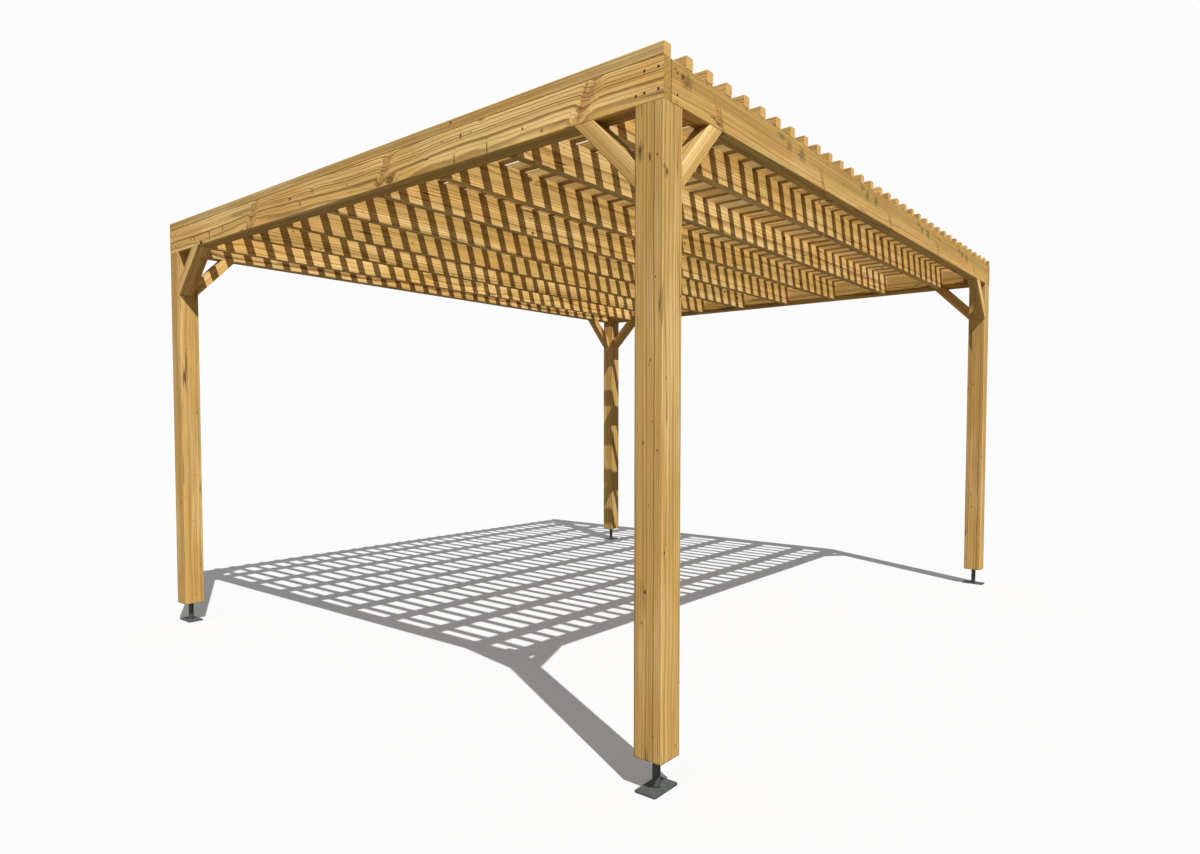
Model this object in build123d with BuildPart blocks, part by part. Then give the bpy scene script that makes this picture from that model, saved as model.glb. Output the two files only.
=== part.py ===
"""Garden pergola: four posts on steel feet carry a beam frame, joists and a slatted roof.

Millimetres, Z up. The origin is the middle of the plan at ground level. X runs along the front beam,
the front faces minus Y.
"""
import math
import os

from build123d import *

# Plan size over the outer faces of the posts
plan_width = 3850.0
plan_depth = 4690.0

# Posts
post_side = 120.0
post_shoulder_height = 2288.0

# Beam frame: the long beams are front and back, the side beams lap behind their end tongues
long_beam_thickness = 90.0
side_beam_thickness = 70.0
beam_height = 148.0
corner_tongue = 45.0

# Joists inside the frame, with a clear gap between the outermost ones and the side beams
joist_thickness = 45.0
joist_end_gap = 261.0
joist_count = 8

# Roof slats
slat_width = 44.0
slat_height = 44.0
slat_count = 34

# Knee braces, each as deep as the beam it props
brace_width = 65.0
brace_reach = 277.0

# Rounded long edges: posts and beams, then joists, slats and braces
beam_arris_radius = 5.0
batten_arris_radius = 3.0

# Steel feet
foot_height = 120.0
plate_length = 150.0
plate_width = 90.0
plate_thickness = 7.0
plate_corner_radius = 8.0
stem_diameter = 30.0
pin_diameter = 16.0
pin_length = 90.0
pin_clearance = 1.0

# Levels, lengths and spacings that follow from the sizes above
half_width = plan_width / 2
half_depth = plan_depth / 2
beam_underside = foot_height + post_shoulder_height
beam_middle = beam_underside + beam_height / 2
slat_middle = beam_underside + beam_height + slat_height / 2
tongue_recess = long_beam_thickness - corner_tongue
joist_clear_width = plan_width - side_beam_thickness * 2 - joist_end_gap * 2
joist_pitch = (joist_clear_width - joist_thickness) / (joist_count - 1)
slat_pitch = (plan_depth - slat_width) / (slat_count - 1)
brace_line_reach = brace_reach - brace_width / math.sqrt(2)

# Signs of X and Y for each corner, and whether its foot plate lies along Y
corners = {
    "front_left": (-1, -1, False),
    "front_right": (1, -1, True),
    "back_right": (1, 1, False),
    "back_left": (-1, 1, True),
}

os.makedirs("parts", exist_ok=True)


def save(builder, name):
    """Label a finished piece and write its file."""
    builder.part.label = name
    export_step(builder.part, "parts/" + name + ".step")


def make_post(name, sx, sy):
    """A square post, notched at the top around both beams and bored for the pin of its foot."""
    post_x = sx * (half_width - post_side / 2)
    post_y = sy * (half_depth - post_side / 2)
    with BuildPart() as post:
        with BuildSketch(Plane.XY.offset(foot_height)):
            with Locations((post_x, post_y)):
                RectangleRounded(post_side, post_side, beam_arris_radius)
        extrude(amount=post_shoulder_height + beam_height)
        with BuildSketch(Plane.XY.offset(beam_underside)):
            with Locations((post_x, sy * (half_depth - long_beam_thickness / 2))):
                Rectangle(post_side, long_beam_thickness)
            with Locations((sx * (half_width - side_beam_thickness / 2), post_y)):
                Rectangle(side_beam_thickness, post_side)
        extrude(amount=beam_height, mode=Mode.SUBTRACT)
        with BuildSketch(Plane.XY.offset(foot_height)):
            with Locations((post_x, post_y)):
                Circle(pin_diameter / 2 + pin_clearance)
        extrude(amount=pin_length + pin_clearance, mode=Mode.SUBTRACT)
    save(post, "post_" + name)


def make_foot(name, sx, sy, along_y):
    """A base plate with rounded corners, a round stem under the post and a pin into it."""
    foot_x = sx * (half_width - post_side / 2)
    foot_y = sy * (half_depth - post_side / 2)
    size_x = plate_width if along_y else plate_length
    size_y = plate_length if along_y else plate_width
    with BuildPart() as foot:
        with BuildSketch(Plane.XY):
            with Locations((foot_x, foot_y)):
                RectangleRounded(size_x, size_y, plate_corner_radius)
        extrude(amount=plate_thickness)
        with BuildSketch(Plane.XY.offset(plate_thickness)):
            with Locations((foot_x, foot_y)):
                Circle(stem_diameter / 2)
        extrude(amount=foot_height - plate_thickness)
        with BuildSketch(Plane.XY.offset(foot_height)):
            with Locations((foot_x, foot_y)):
                Circle(pin_diameter / 2)
        extrude(amount=pin_length)
    save(foot, "foot_" + name)


def make_long_beam(name, sy):
    """Front or back beam over the full width, rebated to a tongue at both ends."""
    beam_y = sy * (half_depth - long_beam_thickness / 2)
    rebate_x = half_width - side_beam_thickness / 2
    rebate_y = sy * (half_depth - corner_tongue - tongue_recess / 2)
    with BuildPart() as beam:
        with BuildSketch(Plane.YZ):
            with Locations((beam_y, beam_middle)):
                RectangleRounded(long_beam_thickness, beam_height, beam_arris_radius)
        extrude(amount=half_width, both=True)
        with BuildSketch(Plane.XY.offset(beam_underside)):
            with Locations((-rebate_x, rebate_y), (rebate_x, rebate_y)):
                Rectangle(side_beam_thickness, tongue_recess)
        extrude(amount=beam_height, mode=Mode.SUBTRACT)
    save(beam, "beam_" + name)


def make_side_beam(name, sx):
    """Left or right beam between the tongues of the front and back beams."""
    with BuildPart() as beam:
        with BuildSketch(Plane.XZ):
            with Locations((sx * (half_width - side_beam_thickness / 2), beam_middle)):
                RectangleRounded(side_beam_thickness, beam_height, beam_arris_radius)
        extrude(amount=half_depth - corner_tongue, both=True)
    save(beam, "beam_" + name)


def make_joist(number):
    """One joist between the inner faces of the front and back beams."""
    joist_x = (number - (joist_count - 1) / 2) * joist_pitch
    with BuildPart() as joist:
        with BuildSketch(Plane.XZ):
            with Locations((joist_x, beam_middle)):
                RectangleRounded(joist_thickness, beam_height, batten_arris_radius)
        extrude(amount=half_depth - long_beam_thickness, both=True)
    save(joist, "joist_" + str(number + 1))


def make_brace(name, seat, inward, across, depth):
    """A brace at 45 degrees, mitred against a post and the underside of a beam.

    The seat is where the post's face, the beam's underside and the brace's middle plane meet.
    """
    middle = seat + (inward - Vector(0, 0, 1)) * (brace_line_reach / 2)
    with BuildPart() as brace:
        with BuildSketch(Plane(origin=middle, x_dir=across, z_dir=inward + Vector(0, 0, 1))):
            RectangleRounded(depth, brace_width, batten_arris_radius)
        extrude(amount=brace_reach, both=True)
        split(bisect_by=Plane(origin=seat, z_dir=inward), keep=Keep.TOP)
        split(bisect_by=Plane(origin=seat, z_dir=Vector(0, 0, 1)), keep=Keep.BOTTOM)
    save(brace, "brace_" + name)


for corner, (sx, sy, along_y) in corners.items():
    make_post(corner, sx, sy)
    make_foot(corner, sx, sy, along_y)
    long_middle = sy * (half_depth - long_beam_thickness / 2)
    side_middle = sx * (half_width - side_beam_thickness / 2)
    long_seat = Vector(sx * (half_width - post_side), long_middle, beam_underside)
    side_seat = Vector(side_middle, sy * (half_depth - post_side), beam_underside)
    make_brace(corner + "_long", long_seat, Vector(-sx, 0, 0), Vector(0, 1, 0), long_beam_thickness)
    make_brace(corner + "_side", side_seat, Vector(0, -sy, 0), Vector(1, 0, 0), side_beam_thickness)

make_long_beam("front", -1)
make_long_beam("back", 1)
make_side_beam("left", -1)
make_side_beam("right", 1)

for joist_number in range(joist_count):
    make_joist(joist_number)

with BuildPart() as slats:
    with BuildSketch(Plane.YZ):
        with Locations((0, slat_middle)):
            with GridLocations(slat_pitch, 0, slat_count, 1):
                RectangleRounded(slat_width, slat_height, batten_arris_radius)
    extrude(amount=half_width, both=True)
save(slats, "roof_slats")
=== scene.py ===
"""Garden pergola: the finish of its timber and steel, its screws, and the light and camera.

Metres, Z up. X runs along the front beam, the front faces minus Y, and the origin is the middle of the
plan at ground level.
"""
import math
import random

import bmesh
import bpy
from mathutils import Matrix, Vector


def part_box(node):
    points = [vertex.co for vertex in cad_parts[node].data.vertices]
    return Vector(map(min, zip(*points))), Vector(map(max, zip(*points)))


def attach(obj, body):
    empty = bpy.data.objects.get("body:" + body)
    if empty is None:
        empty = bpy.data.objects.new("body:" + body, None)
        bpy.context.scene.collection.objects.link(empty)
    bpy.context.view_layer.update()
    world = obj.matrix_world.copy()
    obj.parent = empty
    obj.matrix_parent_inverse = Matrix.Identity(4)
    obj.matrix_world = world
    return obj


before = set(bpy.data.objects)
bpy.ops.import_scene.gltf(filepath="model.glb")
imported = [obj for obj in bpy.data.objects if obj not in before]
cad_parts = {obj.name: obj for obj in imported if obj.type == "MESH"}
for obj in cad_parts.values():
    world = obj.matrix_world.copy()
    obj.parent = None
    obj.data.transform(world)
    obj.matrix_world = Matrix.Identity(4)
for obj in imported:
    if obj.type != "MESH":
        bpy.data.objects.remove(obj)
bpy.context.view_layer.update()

scene = bpy.context.scene
grain_seed = 11
draw = random.Random(grain_seed)

# Camera, for an image of 1200 by 854
image_width = 1200
image_height = 854
camera_place = Vector((3.4088, -4.5569, 1.3215))
camera_turn = math.radians(39.395)
camera_tilt_down = math.radians(2.296)
focal_pixels = 774.08
optical_centre = (587.2, 451.9)
sensor_width_mm = 36.0

# Light: where the sunlight falls in plan for each metre that it comes down, and the strengths
sunlight_run = Vector((-0.617, 0.323, -1.0))
sun_strength = 4.8
sun_spread = math.radians(0.35)
fill_run = Vector((0.05, 1.0, -0.12))
fill_strength = 0.6
fill_spread = math.radians(50)
sky_color = (1.0, 1.0, 1.0, 1.0)
sky_strength = 0.28
backdrop_white = 0.974

# Floor: what the camera sees of it, and what it throws back
floor_radius = 90.0
floor_sides = 96
floor_color = (0.563, 0.563, 0.563, 1.0)
floor_glow = (0.094, 0.098, 0.102, 1.0)
floor_bounce_color = (0.165, 0.15, 0.115, 1.0)

# Pine: its colours
early_wood = (0.79, 0.540, 0.215, 1.0)
honey_wood = (0.67, 0.405, 0.118, 1.0)
heart_wood = (0.45, 0.275, 0.068, 1.0)
late_wood = (0.23, 0.105, 0.022, 1.0)
green_tint = (0.42, 0.325, 0.085, 1.0)
russet_tint = (0.54, 0.27, 0.075, 1.0)
live_knot = (0.50, 0.245, 0.070, 1.0)
dead_knot = (0.11, 0.045, 0.016, 1.0)
knot_bark = (0.05, 0.024, 0.011, 1.0)
knot_halo = (0.42, 0.205, 0.055, 1.0)
check_dark = (0.09, 0.048, 0.018, 1.0)
stain_dark = (0.20, 0.135, 0.035, 1.0)
worn_arris = (0.78, 0.55, 0.24, 1.0)
seam_shade_and_dirt = (0.05, 0.028, 0.012, 1.0)
end_grain = (0.45, 0.28, 0.08, 1.0)
beam_end_grain = (0.37, 0.220, 0.040, 1.0)
slat_end_grain = (0.72, 0.425, 0.130, 1.0)

# Pine: how much of the wood's colour each mark covers where it is strongest
heart_cover = 0.75
russet_cover = 0.5
stain_cover = 0.85
halo_cover = 0.45
live_knot_cover = 0.65
dead_knot_cover = 0.95
bark_cover = 0.7
dash_cover = 0.35
check_cover = 0.8
rub_cover = 0.5
end_cover = 0.75

# Pine: patterns, by their frequencies per metre along the timber and across it
drift_pattern = (0.7, 1.0, 1.0)
warp_pattern = (2.6, 13.0, 13.0)
ripple_pattern = (14.0, 70.0, 70.0)
pace_pattern = (45.0, 1.0, 1.0)
patch_pattern = (1.3, 9.0, 9.0)
fibre_pattern = (7.0, 420.0, 420.0)
streak_pattern = (1.6, 75.0, 75.0)
dash_pattern = (12.0, 230.0, 230.0)
rub_pattern = (6.0, 30.0, 30.0)
check_pattern = (0.8, 26.0, 1.0)
check_reach_pattern = (2.6, 13.0, 1.0)
knot_edge_pattern = (110.0, 110.0, 0.0)
chosen_edge_pattern = (55.0, 55.0, 55.0)

# Pine: where in its pattern an effect starts and where it is full
late_start = (0.42, 0.84)
late_end = (1.0, 0.91)
heart_reach = (0.105, 0.070)
honey_band = (0.36, 0.64)
russet_band = (0.52, 0.70)
green_band = (0.47, 0.68)
dash_band = (0.72, 0.80)
check_band = (0.016, 0.004)
check_reach_band = (0.60, 0.66)
rub_band = (0.4, 0.65)
end_band = (0.6, 0.9)
# Braces: where the painted shade on their upper faces starts and where it is full, by how far a face
# points up
upper_face_shade_band = (0.3, 0.6)

# Pine: the depth of its ring lines' waves, and its spreads of shade, ring strength and roughness
warp_depth = 0.014
ripple_depth = 0.0030
pace_years = 2.4
ring_strength = (0.40, 1.0)
fibre_shade = (0.88, 1.12)
streak_shade = (0.74, 1.26)
pine_roughness = (0.62, 0.82)
late_smoothness = 0.14

# Pine: relief, gloss, and the widths of a rubbed arris and of the dark line at a butted end, which is
# painted contact shade with some dirt
late_relief = 0.45
fibre_relief = 0.10
bark_hollow = 0.5
pine_relief = 0.0012
relief_strength = 0.35
pine_gloss = 0.35
arris_width = 0.006
seam_width = 0.006

# Timbers: how far apart they and their faces lie in the pattern, so that no two are alike
timber_spacing = 6.0
face_spacing = 1.37

# Braces and slats: a width and a number as in the frame, and the painted shade that darkens the braces'
# upper faces to this share of their tone
brace_width = 0.065
brace_top_painted_shade = 0.55
slat_count = 34

# Knots: their bands in shares of their radius, from where a band starts to where it is full
knot_heart_reach = (1.15, 0.75)
knot_bark_reach = (0.34, 0.0)
knot_halo_reach = (2.8, 0.9)
knot_swelling_reach = (4.5, 0.0)

# Knots scattered over the faces
scatter_randomness = 0.95
knot_girth = (0.4, 1.0)
knot_stretch = (0.75, 1.0, 0.0)
knot_edge = (0.6, 1.4)
live_share = (0.35, 0.75)
large_knot_spacing = 0.21
small_knot_spacing = 0.10
small_knot_size = 0.0040
small_knot_share = 0.30
small_knot_shift = 31.0

# What each kind of timber is like, how far its pith lies off its middle, and its tone
looks = {
    "post": {
        "Ring": 0.0115, "Wander": 0.016, "Figure": 0.75, "Knots": 0.22, "Knot Size": 0.010,
        "Green": 0.25, "Honey": 0.10, "End Color": end_grain, "Seam": 0.5,
    },
    "beam": {
        "Ring": 0.0105, "Wander": 0.045, "Figure": 1.0, "Knots": 0.25, "Knot Size": 0.014,
        "Green": 0.35, "Honey": 0.0, "End Color": beam_end_grain, "Seam": 0.0,
    },
    "joist": {
        "Ring": 0.0140, "Wander": 0.040, "Figure": 0.85, "Knots": 0.28, "Knot Size": 0.012,
        "Green": 0.20, "Honey": 0.0, "End Color": end_grain, "Seam": 0.6,
    },
    "brace": {
        "Ring": 0.0085, "Wander": 0.006, "Figure": 0.55, "Knots": 0.20, "Knot Size": 0.008,
        "Green": 0.15, "Honey": 0.0, "End Color": end_grain, "Seam": 0.5,
    },
    "slat": {
        "Ring": 0.0120, "Wander": 0.030, "Figure": 0.75, "Knots": 0.26, "Knot Size": 0.009,
        "Green": 0.30, "Honey": 0.0, "End Color": slat_end_grain, "Seam": 0.0,
    },
}
pith_reach = {"post": (0.09, 0.15), "beam": (0.08, 0.15), "joist": (0.05, 0.12), "brace": (0.06, 0.12)}
slat_pith_side = (-0.13, 0.13)
slat_pith_height = (0.10, 0.17)
tones = {
    "post": (0.90, 0.98), "beam": (0.97, 1.06), "joist": (1.08, 1.20), "brace": (1.14, 1.24),
    "slat": (0.74, 0.90),
}

# Some timbers' own pith, tone, and what differs in their look from others of their kind
chosen_pith = {
    "post_front_right": Vector((0, -0.13, -0.12)),
    "post_front_left": Vector((0, -0.15, -0.11)),
    "post_back_right": Vector((0, -0.12, -0.13)),
    "beam_front": Vector((0, 0.06, -0.085)),
    "beam_right": Vector((0, 0.045, -0.085)),
    "brace_front_right_side": Vector((0, 0.08, 0.07)),
    "brace_front_right_long": Vector((0, -0.07, 0.08)),
}
chosen_tone = {
    "post_front_right": 0.93, "beam_front": 1.18, "beam_right": 1.02,
    "brace_front_right_side": 1.34, "brace_front_right_long": 1.10,
}
own_looks = {
    "post_front_right": {"Ring": 0.0100},
    "beam_left": {"Seam": 0.85},
    "beam_right": {"Seam": 0.85, "Figure": 0.6, "Honey": 0.16, "Green": 0.45, "Knots": 0.08},
}

# Marks that show most, by their place on a timber's face: X and height on a front face, Y and height on
# a right face. A leaf knot has two lobes, and is given by the place of its lower tip, the way that it
# leans and a share of its full size. A round knot and a stain have a half width and a half height.
leaf_lobes = (
    {"lean": math.radians(21), "half_width": 0.006, "half_height": 0.056, "bark": 0.50},
    {"lean": math.radians(37), "half_width": 0.012, "half_height": 0.064, "bark": 0.25},
)
round_knot_bark = 0.8
knot_depth = 0.03
chosen_edge = (0.25, 1.75)
stain_reach = (1.5, 0.2)

# The right beam's marks come again at even steps along it
right_beam_step = 0.955
right_beam_steps = 5
right_beam_leaf = ((-1.940, 2.412, -1, 0.65),)
right_beam_stains = (
    (-2.399, 2.532, 0.036, 0.012), (-2.324, 2.512, 0.024, 0.025), (-2.196, 2.508, 0.033, 0.029),
)


def along_right_beam(marks):
    """Marks of the right beam, each at all its steps."""
    return [
        (across + step * right_beam_step, *rest)
        for step in range(right_beam_steps) for across, *rest in marks
    ]


leaf_knots = {
    ("beam_front", "front"): ((1.545, 2.425, 1, 1.0), (0.340, 2.430, 1, 1.0), (-0.885, 2.428, 1, 1.0)),
    ("beam_right", "right"): along_right_beam(right_beam_leaf),
}
round_knots = {
    ("beam_front", "front"): (
        (0.863, 2.430, 0.003, 0.016), (1.063, 2.435, 0.003, 0.018), (-0.350, 2.455, 0.004, 0.009),
        (-1.575, 2.457, 0.004, 0.009), (0.905, 2.518, 0.004, 0.008), (-1.374, 2.453, 0.004, 0.014),
        (-1.205, 2.457, 0.004, 0.010),
    ),
    ("beam_right", "right"): ((-2.225, 2.517, 0.012, 0.006),),
    ("post_front_right", "front"): (
        (1.829, 2.252, 0.004, 0.009), (1.870, 2.222, 0.003, 0.008), (1.873, 1.532, 0.002, 0.005),
        (1.845, 1.245, 0.002, 0.006), (1.840, 0.610, 0.002, 0.004),
    ),
    ("post_front_right", "right"): ((-2.323, 2.171, 0.004, 0.009), (-2.328, 0.864, 0.003, 0.007)),
}
stains = {
    ("beam_right", "right"): along_right_beam(right_beam_stains),
    ("post_front_right", "front"): ((1.829, 2.250, 0.013, 0.034), (1.868, 2.226, 0.006, 0.018)),
    ("post_front_right", "right"): ((-2.326, 2.168, 0.010, 0.022),),
}
marked_timbers = {owner for owner, face in [*leaf_knots, *round_knots, *stains]}

# Steel: paint, wear, and a dark ring round the stem of a foot on its plate, a weld with painted contact
# shade where the stem meets the plate
foot_color = (0.068, 0.076, 0.074, 1.0)
foot_dust = 0.12
# Screws: near-black steel, which also stands in as painted shade for the dark countersunk holes round
# their heads
screw_dark_steel_and_shade = (0.012, 0.011, 0.010, 1.0)
scratch_color = (0.26, 0.27, 0.27, 1.0)
scratch_pattern = (60.0, 700.0, 200.0)
scratch_band = (0.72, 0.80)
scratch_cover = 0.35
mottle_pattern = (38.0, 38.0, 38.0)
mottle_shade = (0.86, 1.14)
grit_pattern = (900.0, 900.0, 900.0)
grit_shade = (0.9, 1.1)
dust_color = (0.30, 0.28, 0.25, 1.0)
dust_pattern = (55.0, 55.0, 55.0)
dust_band = (0.4, 0.75)
dust_height = 0.05
dust_roughness = 0.3
steel_roughness = (0.34, 0.56)
grit_relief = 0.5
mottle_relief = 0.5
steel_relief = 0.0002
foot_plate_thickness = 0.007
weld_shade_start = (0.0002, 0.0008)
weld_shade_height = 0.007
weld_and_contact_shade = (0.014, 0.016, 0.016, 1.0)
weld_shade_cover = 0.8

# Screws: their heads, and their places from the ends and edges of the beams
screw_radius = 0.0052
screw_height = 0.0009
screw_top_share = 0.82
screw_rim_share = 0.36
screw_recess_wall_share = 0.06
screw_recess_depth = 0.0006
corner_screw_sides = 12
slat_screw_sides = 8
corner_screw_columns = (0.021, 0.079)
side_screw_column = 0.085
screw_row_inset = 0.037
extra_screw_inset = 0.115
extra_screw_drop = 0.113


class Nodes:
    """Short calls that add nodes to one tree and link them."""

    def __init__(self, tree):
        self.tree = tree

    def feed(self, socket, value):
        """Link a socket to another node's output, or set it to a plain value."""
        if isinstance(value, bpy.types.NodeSocket):
            self.tree.links.new(value, socket)
        else:
            socket.default_value = value

    def add(self, kind, inputs, **settings):
        """One node with its settings and inputs; the inputs are keyed by name or number."""
        node = self.tree.nodes.new(kind)
        for name, value in settings.items():
            setattr(node, name, value)
        for key, value in inputs.items():
            self.feed(node.inputs[key], value)
        return node

    def group(self, tree, inputs):
        """A shader group placed in this tree, with its inputs; returns its outputs."""
        return self.add("ShaderNodeGroup", inputs, node_tree=tree).outputs

    def math(self, operation, *values):
        """A sum or other operation on numbers."""
        return self.add("ShaderNodeMath", dict(enumerate(values)), operation=operation).outputs[0]

    def vector(self, operation, *values):
        """An operation on vectors; a product or a length comes out as a number."""
        node = self.add("ShaderNodeVectorMath", dict(enumerate(values)), operation=operation)
        return node.outputs["Value" if operation in ("DOT_PRODUCT", "LENGTH") else "Vector"]

    def split(self, vector):
        """The three numbers of a vector."""
        return self.add("ShaderNodeSeparateXYZ", {0: vector}).outputs

    def join(self, x, y, z):
        """A vector of three numbers."""
        return self.add("ShaderNodeCombineXYZ", {0: x, 1: y, 2: z}).outputs[0]

    def noise(self, place, pattern, detail=1.0):
        """Noise around a half, by its frequencies along each axis; a value and a colour."""
        return self.add("ShaderNodeTexNoise", {
            "Vector": self.vector("MULTIPLY", place, pattern), "Scale": 1.0, "Detail": detail,
        }).outputs

    def sway(self, place, pattern, depth):
        """Noise around zero, as deep as given."""
        return self.math("MULTIPLY", self.math("SUBTRACT", self.noise(place, pattern)[0], 0.5), depth)

    def rise(self, value, low, high, top=1.0):
        """A soft step from zero at low to top at high."""
        return self.add("ShaderNodeMapRange", {
            "Value": value, "From Min": low, "From Max": high, "To Min": 0.0, "To Max": top,
        }, interpolation_type="SMOOTHSTEP").outputs[0]

    def spread(self, value, low, high):
        """A value from zero to one, spread evenly from low to high."""
        return self.add("ShaderNodeMapRange", {"Value": value, "To Min": low, "To Max": high}).outputs[0]

    def mix(self, share, first, second, blend_type="MIX"):
        """Two colours mixed by the second one's share."""
        inputs = {0: share, 6: first, 7: second}
        return self.add("ShaderNodeMix", inputs, data_type="RGBA", blend_type=blend_type).outputs[2]

    def shaded(self, color, shade):
        """A colour made darker or lighter by a number."""
        return self.mix(1.0, color, self.join(shade, shade, shade), "MULTIPLY")


def start_group(name, inputs, outputs):
    """A shader group with named sockets; returns it, its calls, what it is given and its result."""
    tree = bpy.data.node_groups.new(name, "ShaderNodeTree")
    for socket_name, kind in inputs.items():
        tree.interface.new_socket(socket_name, in_out="INPUT", socket_type="NodeSocket" + kind)
    for socket_name, kind in outputs.items():
        tree.interface.new_socket(socket_name, in_out="OUTPUT", socket_type="NodeSocket" + kind)
    given = tree.nodes.new("NodeGroupInput").outputs
    result = tree.nodes.new("NodeGroupOutput").inputs
    return tree, Nodes(tree), given, result


knot_bands = {"Heart": "Float", "Bark": "Float", "Halo": "Float", "Swelling": "Float"}
pine_knots = {
    "Live Heart": "Float", "Dead Heart": "Float", "Bark": "Float", "Halo": "Float", "Swelling": "Float",
}
finish_sockets = {"Color": "Color", "Roughness": "Float", "Height": "Float"}


def knot_group():
    """The bands of one knot, by the distance from its middle in shares of its radius."""
    tree, n, given, result = start_group("knot", {"Reach": "Float", "Radius": "Float"}, knot_bands)
    reach = given["Reach"]
    off_edge = n.math("ABSOLUTE", n.math("SUBTRACT", reach, 1.0))
    n.feed(result["Heart"], n.rise(reach, *knot_heart_reach))
    n.feed(result["Bark"], n.rise(off_edge, *knot_bark_reach))
    n.feed(result["Halo"], n.rise(reach, *knot_halo_reach))
    n.feed(result["Swelling"], n.math("MULTIPLY", n.rise(reach, *knot_swelling_reach), given["Radius"]))
    return tree


def knot_field_group(knot):
    """Knots scattered over a timber's faces."""
    tree, n, given, result = start_group(
        "knot_field",
        {"Along": "Float", "Across": "Float", "Spacing": "Float", "Size": "Float", "Share": "Float"},
        pine_knots,
    )
    along, across, spacing = given["Along"], given["Across"], given["Spacing"]
    cells = n.join(n.math("DIVIDE", along, spacing), n.math("DIVIDE", across, spacing), 0.0)
    scatter = n.add("ShaderNodeTexVoronoi", {
        "Vector": cells, "Scale": 1.0, "Randomness": scatter_randomness,
    }, voronoi_dimensions="2D").outputs
    luck, girth, life = n.split(scatter["Color"])
    chosen = n.math("LESS_THAN", luck, given["Share"])
    radius = n.math("MULTIPLY", given["Size"], n.spread(girth, *knot_girth))
    ragged = n.noise(n.join(along, across, 0.0), knot_edge_pattern)[0]
    offset = n.vector("MULTIPLY", n.vector("SUBTRACT", cells, scatter["Position"]), knot_stretch)
    distance = n.math("MULTIPLY", n.vector("LENGTH", offset), spacing)
    distance = n.math("MULTIPLY", distance, n.spread(ragged, *knot_edge))
    bands = n.group(knot, {"Reach": n.math("DIVIDE", distance, radius), "Radius": radius})
    heart = n.math("MULTIPLY", bands["Heart"], chosen)
    live = n.rise(life, *live_share)
    n.feed(result["Live Heart"], n.math("MULTIPLY", heart, live))
    n.feed(result["Dead Heart"], n.math("MULTIPLY", heart, n.math("SUBTRACT", 1.0, live)))
    for name in ("Bark", "Halo", "Swelling"):
        n.feed(result[name], n.math("MULTIPLY", bands[name], chosen))
    return tree


def pith_distance(n, given):
    """The distance from the pith line, which wanders along the timber."""
    along, side, thick = n.split(given["Place"])
    _, pith_side, pith_thick = n.split(given["Pith"])
    drift = n.split(n.noise(n.join(along, 0.0, 0.0), drift_pattern)[1])

    def from_pith(offset, pith, wave):
        """The offset from the pith line along one axis of the section."""
        bend = n.math("MULTIPLY", n.math("SUBTRACT", wave, 0.5), given["Wander"])
        return n.math("SUBTRACT", n.math("SUBTRACT", offset, pith), bend)

    side_offset = from_pith(side, pith_side, drift[0])
    thick_offset = from_pith(thick, pith_thick, drift[1])
    return n.vector("LENGTH", n.join(0.0, side_offset, thick_offset))


def nearest_face(n, given):
    """The place along and across the nearest face, and the gap to the nearest arris."""
    along, side, thick = n.split(given["Place"])
    _, half_side, half_thick = n.split(given["Half"])
    side_gap = n.math("SUBTRACT", half_side, n.math("ABSOLUTE", side))
    thick_gap = n.math("SUBTRACT", half_thick, n.math("ABSOLUTE", thick))
    on_side = n.math("LESS_THAN", side_gap, thick_gap)
    off_side = n.math("SUBTRACT", 1.0, on_side)
    across = n.math("ADD", n.math("MULTIPLY", thick, on_side), n.math("MULTIPLY", side, off_side))
    outward = n.math("ADD", n.math("MULTIPLY", side, on_side), n.math("MULTIPLY", thick, off_side))

    # The faces' numbers are -1, 1, 2 and 4
    face = n.math("ADD", n.math("SIGN", outward), n.math("MULTIPLY", on_side, 3.0))
    face_along = n.math("ADD", along, n.math("MULTIPLY", face, face_spacing))
    return face_along, across, n.math("MAXIMUM", side_gap, thick_gap)


def all_knots(n, given, knot_field, face_along, across):
    """The strongest of the scattered knots, large and small, and those listed, band by band."""
    def scattered(spacing, size, share, shift):
        """One field of knots on the nearest face."""
        return n.group(knot_field, {
            "Along": n.math("ADD", face_along, shift), "Across": n.math("ADD", across, shift),
            "Spacing": spacing, "Size": size, "Share": share,
        })

    large = scattered(large_knot_spacing, given["Knot Size"], given["Knots"], 0.0)
    small = scattered(small_knot_spacing, small_knot_size, small_knot_share, small_knot_shift)
    return {
        name: n.math("MAXIMUM", n.math("MAXIMUM", large[name], small[name]), given[name])
        for name in pine_knots
    }


def growth_rings(n, given, swelling):
    """The grown distance from the pith, swollen round the knots, and the late wood that ends each ring.

    The rings are of uneven width and strength.
    """
    place = given["Place"]
    warped = n.math("ADD", pith_distance(n, given), n.sway(place, warp_pattern, warp_depth))
    grown = n.math("ADD", warped, n.math("ADD", swelling, n.sway(place, ripple_pattern, ripple_depth)))
    pace = n.noise(n.join(grown, 0.0, 0.0), pace_pattern)[0]
    year = n.math("ADD", n.math("DIVIDE", grown, given["Ring"]), n.math("MULTIPLY", pace, pace_years))
    season = n.math("FRACT", year)
    ring_luck = n.add("ShaderNodeTexWhiteNoise", {"W": n.math("FLOOR", year)}, noise_dimensions="1D")
    late = n.math("MULTIPLY", n.rise(season, *late_start), n.rise(season, *late_end))
    return grown, n.math("MULTIPLY", late, n.spread(ring_luck.outputs[0], *ring_strength))


def drying_checks(n, face_along, across):
    """Long dark drying checks, broken along their length."""
    face_place = n.join(face_along, across, 0.0)
    middle_line = n.math("ABSOLUTE", n.math("SUBTRACT", n.noise(face_place, check_pattern)[0], 0.5))
    reach = n.rise(n.noise(face_place, check_reach_pattern)[0], *check_reach_band)
    return n.math("MULTIPLY", n.rise(middle_line, *check_band), reach)


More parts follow.
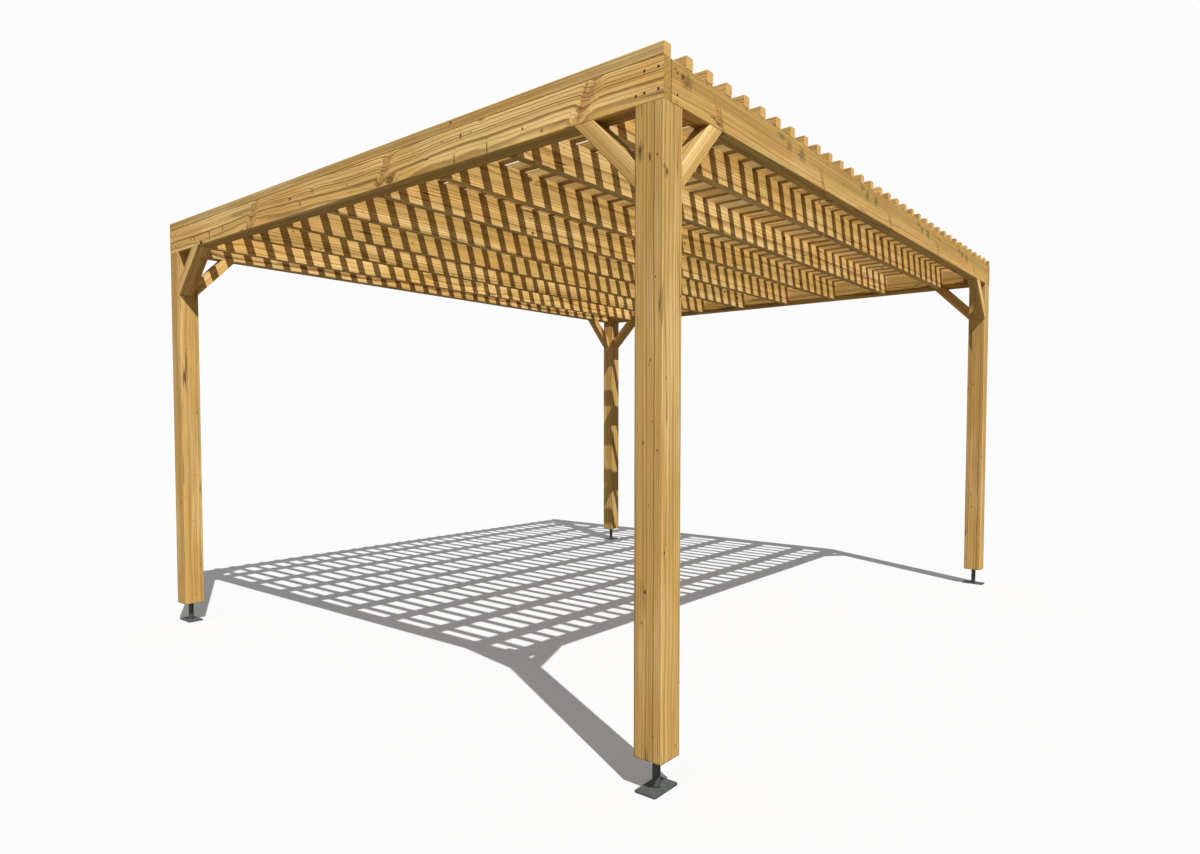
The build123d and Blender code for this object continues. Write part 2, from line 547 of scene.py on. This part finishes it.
def wood_color(n, given, grown, late, fibre, knots):
    """Pale, honey and heart wood, tints of the treatment, stains, live knots and late wood lines."""
    place = given["Place"]
    patches = n.split(n.noise(place, patch_pattern, detail=2.0)[1])
    honey = n.rise(n.math("ADD", patches[0], given["Honey"]), *honey_band)
    green = n.math("MULTIPLY", n.rise(patches[2], *green_band), given["Green"])
    color = n.mix(honey, early_wood, honey_wood)
    color = n.mix(n.rise(grown, *heart_reach, heart_cover), color, heart_wood)
    color = n.mix(n.rise(patches[1], *russet_band, russet_cover), color, russet_tint)
    color = n.mix(green, color, green_tint)
    color = n.mix(n.math("MULTIPLY", given["Stain"], stain_cover), color, stain_dark)
    color = n.mix(n.math("MULTIPLY", knots["Halo"], halo_cover), color, knot_halo)
    color = n.mix(n.math("MULTIPLY", knots["Live Heart"], live_knot_cover), color, live_knot)
    color = n.mix(n.math("MULTIPLY", late, given["Figure"]), color, late_wood)
    streak = n.noise(place, streak_pattern)[0]
    shade = n.math("MULTIPLY", n.spread(fibre, *fibre_shade), n.spread(streak, *streak_shade))
    return n.shaded(color, n.math("MULTIPLY", shade, given["Tone"]))


def mark_color(n, given, color, check, knots, arris_gap):
    """Resin dashes, checks, dark knots, rubbed arrises, end grain, and a dark line at a butted end,
    painted contact shade with some dirt.
    """
    place = given["Place"]
    dash = n.rise(n.noise(place, dash_pattern)[0], *dash_band, dash_cover)
    color = n.mix(n.math("MAXIMUM", dash, n.math("MULTIPLY", check, check_cover)), color, check_dark)
    color = n.mix(n.math("MULTIPLY", knots["Bark"], bark_cover), color, knot_bark)
    color = n.mix(n.math("MULTIPLY", knots["Dead Heart"], dead_knot_cover), color, dead_knot)
    rubbed = n.rise(n.noise(place, rub_pattern, detail=2.0)[0], *rub_band, rub_cover)
    color = n.mix(n.math("MULTIPLY", n.rise(arris_gap, arris_width, 0.0), rubbed), color, worn_arris)
    color = n.mix(n.math("MULTIPLY", given["End"], end_cover), color, given["End Color"])
    # Painted contact shade with some dirt: a dark line close to a butted end, where the timber meets the
    # next part
    seam_shade = n.math("MULTIPLY", n.rise(given["End Gap"], seam_width, seam_width / 4), given["Seam"])
    return n.mix(n.math("MULTIPLY", seam_shade, n.math("SUBTRACT", 1.0, given["End"])), color, seam_shade_and_dirt)


def solid_pine_group(knot_field):
    """Pine in the solid: growth rings about a pith line, fibres, knots, checks, tints and worn arrises.

    Place has the timber's length along X and its section's middle at zero in Y and Z.
    """
    tree, n, given, result = start_group(
        "solid_pine",
        {
            "Place": "Vector", "Pith": "Vector", "Half": "Vector", "Ring": "Float", "Wander": "Float",
            "Figure": "Float", "Knots": "Float", "Knot Size": "Float", "Tone": "Float", "Green": "Float",
            "End": "Float", "End Color": "Color", "End Gap": "Float", "Seam": "Float", "Honey": "Float",
            "Stain": "Float",
        } | pine_knots,
        finish_sockets,
    )
    face_along, across, arris_gap = nearest_face(n, given)
    knots = all_knots(n, given, knot_field, face_along, across)
    grown, late = growth_rings(n, given, knots["Swelling"])
    fibre = n.noise(given["Place"], fibre_pattern, detail=2.0)[0]
    check = drying_checks(n, face_along, across)
    color = wood_color(n, given, grown, late, fibre, knots)
    n.feed(result["Color"], mark_color(n, given, color, check, knots, arris_gap))

    # Late wood stands proud and is smoother; checks and knots are hollows
    smoothness = n.math("MULTIPLY", late, late_smoothness)
    n.feed(result["Roughness"], n.math("SUBTRACT", n.spread(fibre, *pine_roughness), smoothness))
    proud = n.math("ADD", n.math("MULTIPLY", late, late_relief), n.math("MULTIPLY", fibre, fibre_relief))
    hollow = n.math("ADD", check, n.math("MULTIPLY", knots["Bark"], bark_hollow))
    n.feed(result["Height"], n.math("SUBTRACT", proud, hollow))
    return tree


def steel_wear_group():
    """Painted steel: faint mottling, fine scratches, dust that gathers low down, and a dark ring of weld
    and painted contact shade where a stem meets its plate.
    """
    tree, n, given, result = start_group(
        "steel_wear", {"Place": "Vector", "Paint": "Color", "Dust": "Float"}, finish_sockets,
    )
    place = given["Place"]
    height_up = n.split(place)[2]
    mottle = n.noise(place, mottle_pattern, detail=4.0)[0]
    grit = n.noise(place, grit_pattern, detail=2.0)[0]
    shade = n.math("MULTIPLY", n.spread(mottle, *mottle_shade), n.spread(grit, *grit_shade))
    color = n.shaded(given["Paint"], shade)
    scratch = n.rise(n.noise(place, scratch_pattern)[0], *scratch_band, scratch_cover)
    color = n.mix(scratch, color, scratch_color)
    low = n.math("MULTIPLY", n.rise(height_up, dust_height, 0.0), given["Dust"])
    dust = n.math("MULTIPLY", low, n.rise(n.noise(place, dust_pattern, detail=3.0)[0], *dust_band))
    color = n.mix(dust, color, dust_color)
    # Weld and painted contact shade: a dark ring just above the plate, round the foot of the stem
    over_plate = n.math("SUBTRACT", height_up, foot_plate_thickness)
    weld_shade_top = n.rise(over_plate, weld_shade_height, weld_shade_height / 2)
    weld_and_shade = n.math("MULTIPLY", n.rise(over_plate, *weld_shade_start), weld_shade_top)
    color = n.mix(n.math("MULTIPLY", weld_and_shade, weld_shade_cover), color, weld_and_contact_shade)
    n.feed(result["Color"], color)
    dusty = n.math("MULTIPLY", dust, dust_roughness)
    n.feed(result["Roughness"], n.math("ADD", n.spread(mottle, *steel_roughness), dusty))
    fine = n.math("MULTIPLY", grit, grit_relief)
    n.feed(result["Height"], n.math("ADD", fine, n.math("MULTIPLY", mottle, mottle_relief)))
    return tree


def start_material(name):
    """A node material; returns it, its calls, its Principled shader and its coordinates."""
    material = bpy.data.materials.new(name)
    material.use_nodes = True
    n = Nodes(material.node_tree)
    shader = material.node_tree.nodes["Principled BSDF"]
    return material, n, shader, n.add("ShaderNodeTexCoord", {}).outputs


def finish_material(n, shader, effect, relief):
    """Link an effect's colour, roughness and height to the shader."""
    n.feed(shader.inputs["Base Color"], effect["Color"])
    n.feed(shader.inputs["Roughness"], effect["Roughness"])
    bump = n.add("ShaderNodeBump", {
        "Height": effect["Height"], "Strength": relief_strength, "Distance": relief,
    })
    n.feed(shader.inputs["Normal"], bump.outputs[0])


def chosen_marks(n, coordinates, knot, node_name):
    """The knots and stains listed for one timber, as the pine's own inputs."""
    low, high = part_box(node_name)
    ragged = n.spread(n.noise(coordinates, chosen_edge_pattern, detail=2.0)[0], *chosen_edge)
    inputs = {name: 0.0 for name in [*pine_knots, "Stain"]}

    def own(marks):
        """This timber's marks of one kind, each with its face."""
        return [
            (face, mark)
            for (owner, face), places in marks.items() if owner == node_name for mark in places
        ]

    def strengthen(name, value):
        """Keep the stronger of what is there and what is added."""
        inputs[name] = n.math("MAXIMUM", inputs[name], value)

    def reach_from(face, across, up, half_width, half_height, lean=0.0):
        """The distance from a mark's middle on a face, in shares of its size."""
        if face == "front":
            middle = (across, low.y, up)
            sizes = (half_width, knot_depth, half_height)
            turn = (0.0, lean, 0.0)
        else:
            middle = (high.x, across, up)
            sizes = (knot_depth, half_width, half_height)
            turn = (-lean, 0.0, 0.0)
        offset = n.add("ShaderNodeMapping", {
            "Vector": coordinates, "Location": middle, "Rotation": turn, "Scale": sizes,
        }, vector_type="TEXTURE").outputs[0]
        return n.math("MULTIPLY", n.vector("LENGTH", offset), ragged)

    def add_knot(reach, radius, heart, bark):
        """One knot with a live or a dead heart and a share of its bark."""
        bands = n.group(knot, {"Reach": reach, "Radius": radius})
        strengthen(heart, bands["Heart"])
        strengthen("Bark", n.math("MULTIPLY", bands["Bark"], bark))
        strengthen("Halo", bands["Halo"])
        strengthen("Swelling", bands["Swelling"])

    for face, (tip_across, tip_up, way, size) in own(leaf_knots):
        for lobe in leaf_lobes:
            lean = lobe["lean"] * way
            half_width = lobe["half_width"] * size
            half_height = lobe["half_height"] * size
            across = tip_across + half_height * math.sin(lean)
            up = tip_up + half_height * math.cos(lean)
            reach = reach_from(face, across, up, half_width, half_height, lean)
            add_knot(reach, min(half_width, half_height), "Live Heart", lobe["bark"])
    for face, (across, up, half_width, half_height) in own(round_knots):
        reach = reach_from(face, across, up, half_width, half_height)
        add_knot(reach, min(half_width, half_height), "Dead Heart", round_knot_bark)
    for face, mark in own(stains):
        strengthen("Stain", n.rise(reach_from(face, *mark), *stain_reach))
    return inputs


def finish_pine(n, shader, pine, inputs):
    """Link one timber's inputs to the pine, and the pine to the shader."""
    shader.inputs["Specular IOR Level"].default_value = pine_gloss
    finish_material(n, shader, n.group(pine, inputs), pine_relief)


def pine_material(node_name, pine, knot, look, axes, middle, size, shift, pith, tone):
    """One timber's own pine, with its grain along the timber."""
    material, n, shader, coordinates = start_material(node_name + "_pine")
    location = -(axes @ middle)
    location.x += shift
    place = n.add("ShaderNodeMapping", {
        "Vector": coordinates["Object"], "Location": location, "Rotation": axes.to_euler(),
    }).outputs[0]
    facing = n.math("ABSOLUTE", n.vector("DOT_PRODUCT", coordinates["Normal"], axes[0]))
    from_middle = n.math("ABSOLUTE", n.math("SUBTRACT", n.split(place)[0], shift))
    inputs = look | {
        "Place": place, "Pith": pith, "Half": size / 2, "Tone": tone, "End": n.rise(facing, *end_band),
        "End Gap": n.math("SUBTRACT", size.x / 2, from_middle),
    }
    # Painted shade: a brace's upward faces are darkened, standing in for the shadow that the beam and
    # post above cast on them
    if node_name.startswith("brace_"):
        shaded_upper_face = n.rise(n.split(coordinates["Normal"])[2], *upper_face_shade_band)
        inputs["Tone"] = n.math("MULTIPLY", tone, n.spread(shaded_upper_face, 1.0, brace_top_painted_shade))
    if node_name in marked_timbers:
        inputs |= chosen_marks(n, coordinates["Object"], knot, node_name)
    finish_pine(n, shader, pine, inputs)
    return material


def slat_material(pine, first_y, pitch, middle_z, half):
    """Pine for the roof slats, where each slat is a timber of its own."""
    material, n, shader, coordinates = start_material("slat_pine")
    x, y, z = n.split(coordinates["Object"])
    count = n.math("DIVIDE", n.math("SUBTRACT", y, first_y), pitch)
    number = n.math("ROUND", count)
    along = n.math("ADD", x, n.math("MULTIPLY", number, timber_spacing))
    side = n.math("MULTIPLY", n.math("SUBTRACT", count, number), pitch)
    luck = n.add("ShaderNodeTexWhiteNoise", {"W": number}, noise_dimensions="1D").outputs["Color"]
    side_luck, height_luck, tone_luck = n.split(luck)
    pith_side = n.spread(side_luck, *slat_pith_side)
    pith_height = n.spread(height_luck, *slat_pith_height)
    facing = n.math("ABSOLUTE", n.split(coordinates["Normal"])[0])
    finish_pine(n, shader, pine, looks["slat"] | {
        "Place": n.join(along, side, n.math("SUBTRACT", z, middle_z)),
        "Pith": n.join(0.0, pith_side, pith_height), "Half": half,
        "Tone": n.spread(tone_luck, *tones["slat"]), "End": n.rise(facing, *end_band),
    })
    return material


def steel_material(name, wear, paint, dust):
    """Dark satin steel with slight wear."""
    material, n, shader, coordinates = start_material(name)
    effect = n.group(wear, {"Place": coordinates["Object"], "Paint": paint, "Dust": dust})
    finish_material(n, shader, effect, steel_relief)
    return material


def dress(node_name, material):
    """Give a CAD node one material."""
    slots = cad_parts[node_name].data.materials
    slots.clear()
    slots.append(material)


def middle_and_size(node_name):
    """The middle of a node's box, and its size."""
    low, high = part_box(node_name)
    return (low + high) / 2, high - low


def timber_axes(length_axis, side_axis):
    """Rows of a turn that lays the timber's length along X and one side along Y."""
    return Matrix((length_axis, side_axis, length_axis.cross(side_axis)))


def straight_timber(node_name):
    """Axes, middle and size along those axes of a post, beam or joist."""
    middle, size = middle_and_size(node_name)
    longest = max(range(3), key=lambda axis: size[axis])
    length_axis = Vector([float(axis == longest) for axis in range(3)])
    side_axis = Vector((0, 1, 0)) if longest == 0 else Vector((1, 0, 0))
    axes = timber_axes(length_axis, side_axis)
    return axes, middle, Vector([abs(value) for value in axes @ size])


def brace_timber(node_name):
    """Axes, middle and size along those axes of a brace, which leans in from its post."""
    middle, size = middle_and_size(node_name)
    up = Vector((0, 0, 1))
    on_side = node_name.endswith("_side")
    inward = Vector((0, -middle.y, 0)) if on_side else Vector((-middle.x, 0, 0))
    inward.normalize()
    side_axis = Vector((1, 0, 0)) if on_side else Vector((0, 1, 0))
    depth = size.x if on_side else size.y
    middle = middle - (inward - up).normalized() * brace_width / 2
    axes = timber_axes((inward + up).normalized(), side_axis)
    return axes, middle, Vector((size.z * math.sqrt(2), depth, brace_width))


def dress_timbers(pine, knot):
    """A pine material for each post, beam, joist and brace, turned to its length."""
    timbers = [name for name in sorted(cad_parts) if name.split("_")[0] in pith_reach]
    for number, node_name in enumerate(timbers, 1):
        kind = node_name.split("_")[0]
        axes, middle, size = brace_timber(node_name) if kind == "brace" else straight_timber(node_name)
        look = looks[kind] | own_looks.get(node_name, {})
        reach = draw.uniform(*pith_reach[kind])
        turn = draw.uniform(0, 2 * math.pi)
        drawn_pith = Vector((0, math.cos(turn), math.sin(turn))) * reach
        drawn_tone = draw.uniform(*tones[kind])
        pith = chosen_pith.get(node_name, drawn_pith)
        tone = chosen_tone.get(node_name, drawn_tone)
        shift = number * timber_spacing
        material = pine_material(node_name, pine, knot, look, axes, middle, size, shift, pith, tone)
        dress(node_name, material)


def dress_slats(pine):
    """Dress the roof; returns its slats' middle lines, worked out from its box and their number."""
    low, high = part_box("roof_slats")
    slat_side = high.z - low.z
    first_y = low.y + slat_side / 2
    pitch = (high.y - low.y - slat_side) / (slat_count - 1)
    half = Vector((0, slat_side / 2, slat_side / 2))
    dress("roof_slats", slat_material(pine, first_y, pitch, (low.z + high.z) / 2, half))
    return [first_y + pitch * number for number in range(slat_count)]


def add_screw(mesh, place, outward, sides):
    """A low round head with a bevelled rim and a drive recess, standing on a face."""
    head = bmesh.new()
    bmesh.ops.create_circle(head, cap_ends=True, segments=sides, radius=screw_radius)
    top = bmesh.ops.extrude_face_region(head, geom=head.faces[:])
    rim = [item for item in top["geom"] if isinstance(item, bmesh.types.BMVert)]
    bmesh.ops.translate(head, verts=rim, vec=(0, 0, screw_height))
    bmesh.ops.scale(head, verts=rim, vec=(screw_top_share, screw_top_share, 1.0))
    cap = [item for item in top["geom"] if isinstance(item, bmesh.types.BMFace)]
    bmesh.ops.inset_region(head, faces=cap, thickness=screw_radius * screw_rim_share)
    recess_wall = screw_radius * screw_recess_wall_share
    bmesh.ops.inset_region(head, faces=cap, thickness=recess_wall, depth=-screw_recess_depth)
    bmesh.ops.recalc_face_normals(head, faces=head.faces[:])
    turn = outward.to_track_quat("Z", "Y").to_matrix().to_4x4()
    bmesh.ops.transform(head, matrix=Matrix.Translation(place) @ turn, verts=head.verts[:])
    part = bpy.data.meshes.new("one_screw")
    head.to_mesh(part)
    head.free()
    mesh.from_mesh(part)
    bpy.data.meshes.remove(part)


def add_screw_piece(name, places, sides, material):
    """One joined piece of many screws; each place is a point and the way out of its face."""
    mesh = bmesh.new()
    for place, outward in places:
        add_screw(mesh, place, outward, sides)
    data = bpy.data.meshes.new(name)
    mesh.to_mesh(data)
    mesh.free()
    data.materials.append(material)
    piece = bpy.data.objects.new(name, data)
    scene.collection.objects.link(piece)
    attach(piece, "root")


def add_corner_screws(material):
    """Screws at the corners of the beam frame, and one more on the front beam's right end."""
    low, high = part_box("beam_front")
    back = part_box("beam_back")[1].y
    forward = Vector((0, -1, 0))
    places = []
    for z in (low.z + screw_row_inset, high.z - screw_row_inset):
        for side in (-1, 1):
            for column in corner_screw_columns:
                x = side * (high.x - column)
                places.append((Vector((x, low.y, z)), forward))
                places.append((Vector((x, back, z)), -forward))
            for y in (low.y + side_screw_column, back - side_screw_column):
                places.append((Vector((side * high.x, y, z)), Vector((side, 0, 0))))
    places.append((Vector((high.x - extra_screw_inset, low.y, high.z - extra_screw_drop)), forward))
    add_screw_piece("corner_screws", places, corner_screw_sides, material)


def add_slat_screws(slat_lines, material):
    """Screws down through each slat where it crosses a joist or a side beam."""
    roof_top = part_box("roof_slats")[1].z
    joists = [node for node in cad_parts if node.startswith("joist_")]
    carriers = [*joists, "beam_left", "beam_right"]
    carrier_lines = sorted(middle_and_size(node)[0].x for node in carriers)
    places = [(Vector((x, y, roof_top)), Vector((0, 0, 1))) for x in carrier_lines for y in slat_lines]
    add_screw_piece("slat_screws", places, slat_screw_sides, material)


def add_floor():
    """A plain pale floor, which throws less light back up than it shows."""
    mesh = bmesh.new()
    bmesh.ops.create_circle(mesh, cap_ends=True, segments=floor_sides, radius=floor_radius)
    data = bpy.data.meshes.new("floor")
    mesh.to_mesh(data)
    mesh.free()
    material = bpy.data.materials.new("pale_floor")
    material.use_nodes = True
    tree = material.node_tree
    tree.nodes.remove(tree.nodes["Principled BSDF"])
    n = Nodes(tree)
    lit = n.add("ShaderNodeBsdfDiffuse", {"Color": floor_color}).outputs[0]
    glow = n.add("ShaderNodeEmission", {"Color": floor_glow}).outputs[0]
    seen = n.add("ShaderNodeAddShader", {0: lit, 1: glow}).outputs[0]
    bounce = n.add("ShaderNodeBsdfDiffuse", {"Color": floor_bounce_color}).outputs[0]
    camera_ray = n.add("ShaderNodeLightPath", {}).outputs["Is Camera Ray"]
    shown = n.add("ShaderNodeMixShader", {0: camera_ray, 1: bounce, 2: seen}).outputs[0]
    n.feed(tree.nodes["Material Output"].inputs["Surface"], shown)
    data.materials.append(material)
    floor = bpy.data.objects.new("floor", data)
    scene.collection.objects.link(floor)


def add_sun(name, run, strength, spread):
    """A sun whose light runs one way."""
    sun = bpy.data.lights.new(name, "SUN")
    sun.energy = strength
    sun.angle = spread
    lamp = bpy.data.objects.new(name, sun)
    lamp.rotation_euler = run.to_track_quat("-Z", "Y").to_euler()
    scene.collection.objects.link(lamp)


def add_light():
    """A sun from the right, a weak soft fill from the front and an even white sky."""
    add_sun("sun", sunlight_run, sun_strength, sun_spread)
    add_sun("fill", fill_run, fill_strength, fill_spread)
    world = bpy.data.worlds.new("even_sky")
    world.use_nodes = True
    n = Nodes(world.node_tree)
    light = n.add("ShaderNodeBackground", {"Color": sky_color, "Strength": sky_strength}).outputs[0]
    backdrop = n.add("ShaderNodeBackground", {"Color": sky_color, "Strength": backdrop_white}).outputs[0]
    camera_ray = n.add("ShaderNodeLightPath", {}).outputs["Is Camera Ray"]
    shown = n.add("ShaderNodeMixShader", {0: camera_ray, 1: light, 2: backdrop}).outputs[0]
    n.feed(world.node_tree.nodes["World Output"].inputs["Surface"], shown)
    scene.world = world
    scene.view_settings.view_transform = "Standard"


def add_camera():
    """The camera at the photograph's viewing angle."""
    lens = bpy.data.cameras.new("camera")
    lens.sensor_width = sensor_width_mm
    lens.lens = focal_pixels / image_width * sensor_width_mm
    lens.shift_x = (image_width / 2 - optical_centre[0]) / image_width
    lens.shift_y = (optical_centre[1] - image_height / 2) / image_width
    camera = bpy.data.objects.new("camera", lens)
    camera.location = camera_place
    camera.rotation_euler = (math.pi / 2 - camera_tilt_down, 0, camera_turn)
    scene.collection.objects.link(camera)
    scene.camera = camera


one_knot = knot_group()
pine_grain = solid_pine_group(knot_field_group(one_knot))
steel_wear = steel_wear_group()
dress_timbers(pine_grain, one_knot)
slat_lines = dress_slats(pine_grain)
foot_paint = steel_material("foot_paint", steel_wear, foot_color, foot_dust)
for node_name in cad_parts:
    if node_name.startswith("foot_"):
        dress(node_name, foot_paint)
# The screws' near-black steel is partly painted shade of their countersinks
screw_steel_and_shade = steel_material("screw_steel_and_shade", steel_wear, screw_dark_steel_and_shade, 0.0)
add_corner_screws(screw_steel_and_shade)
add_slat_screws(slat_lines, screw_steel_and_shade)
add_floor()
add_light()
add_camera()
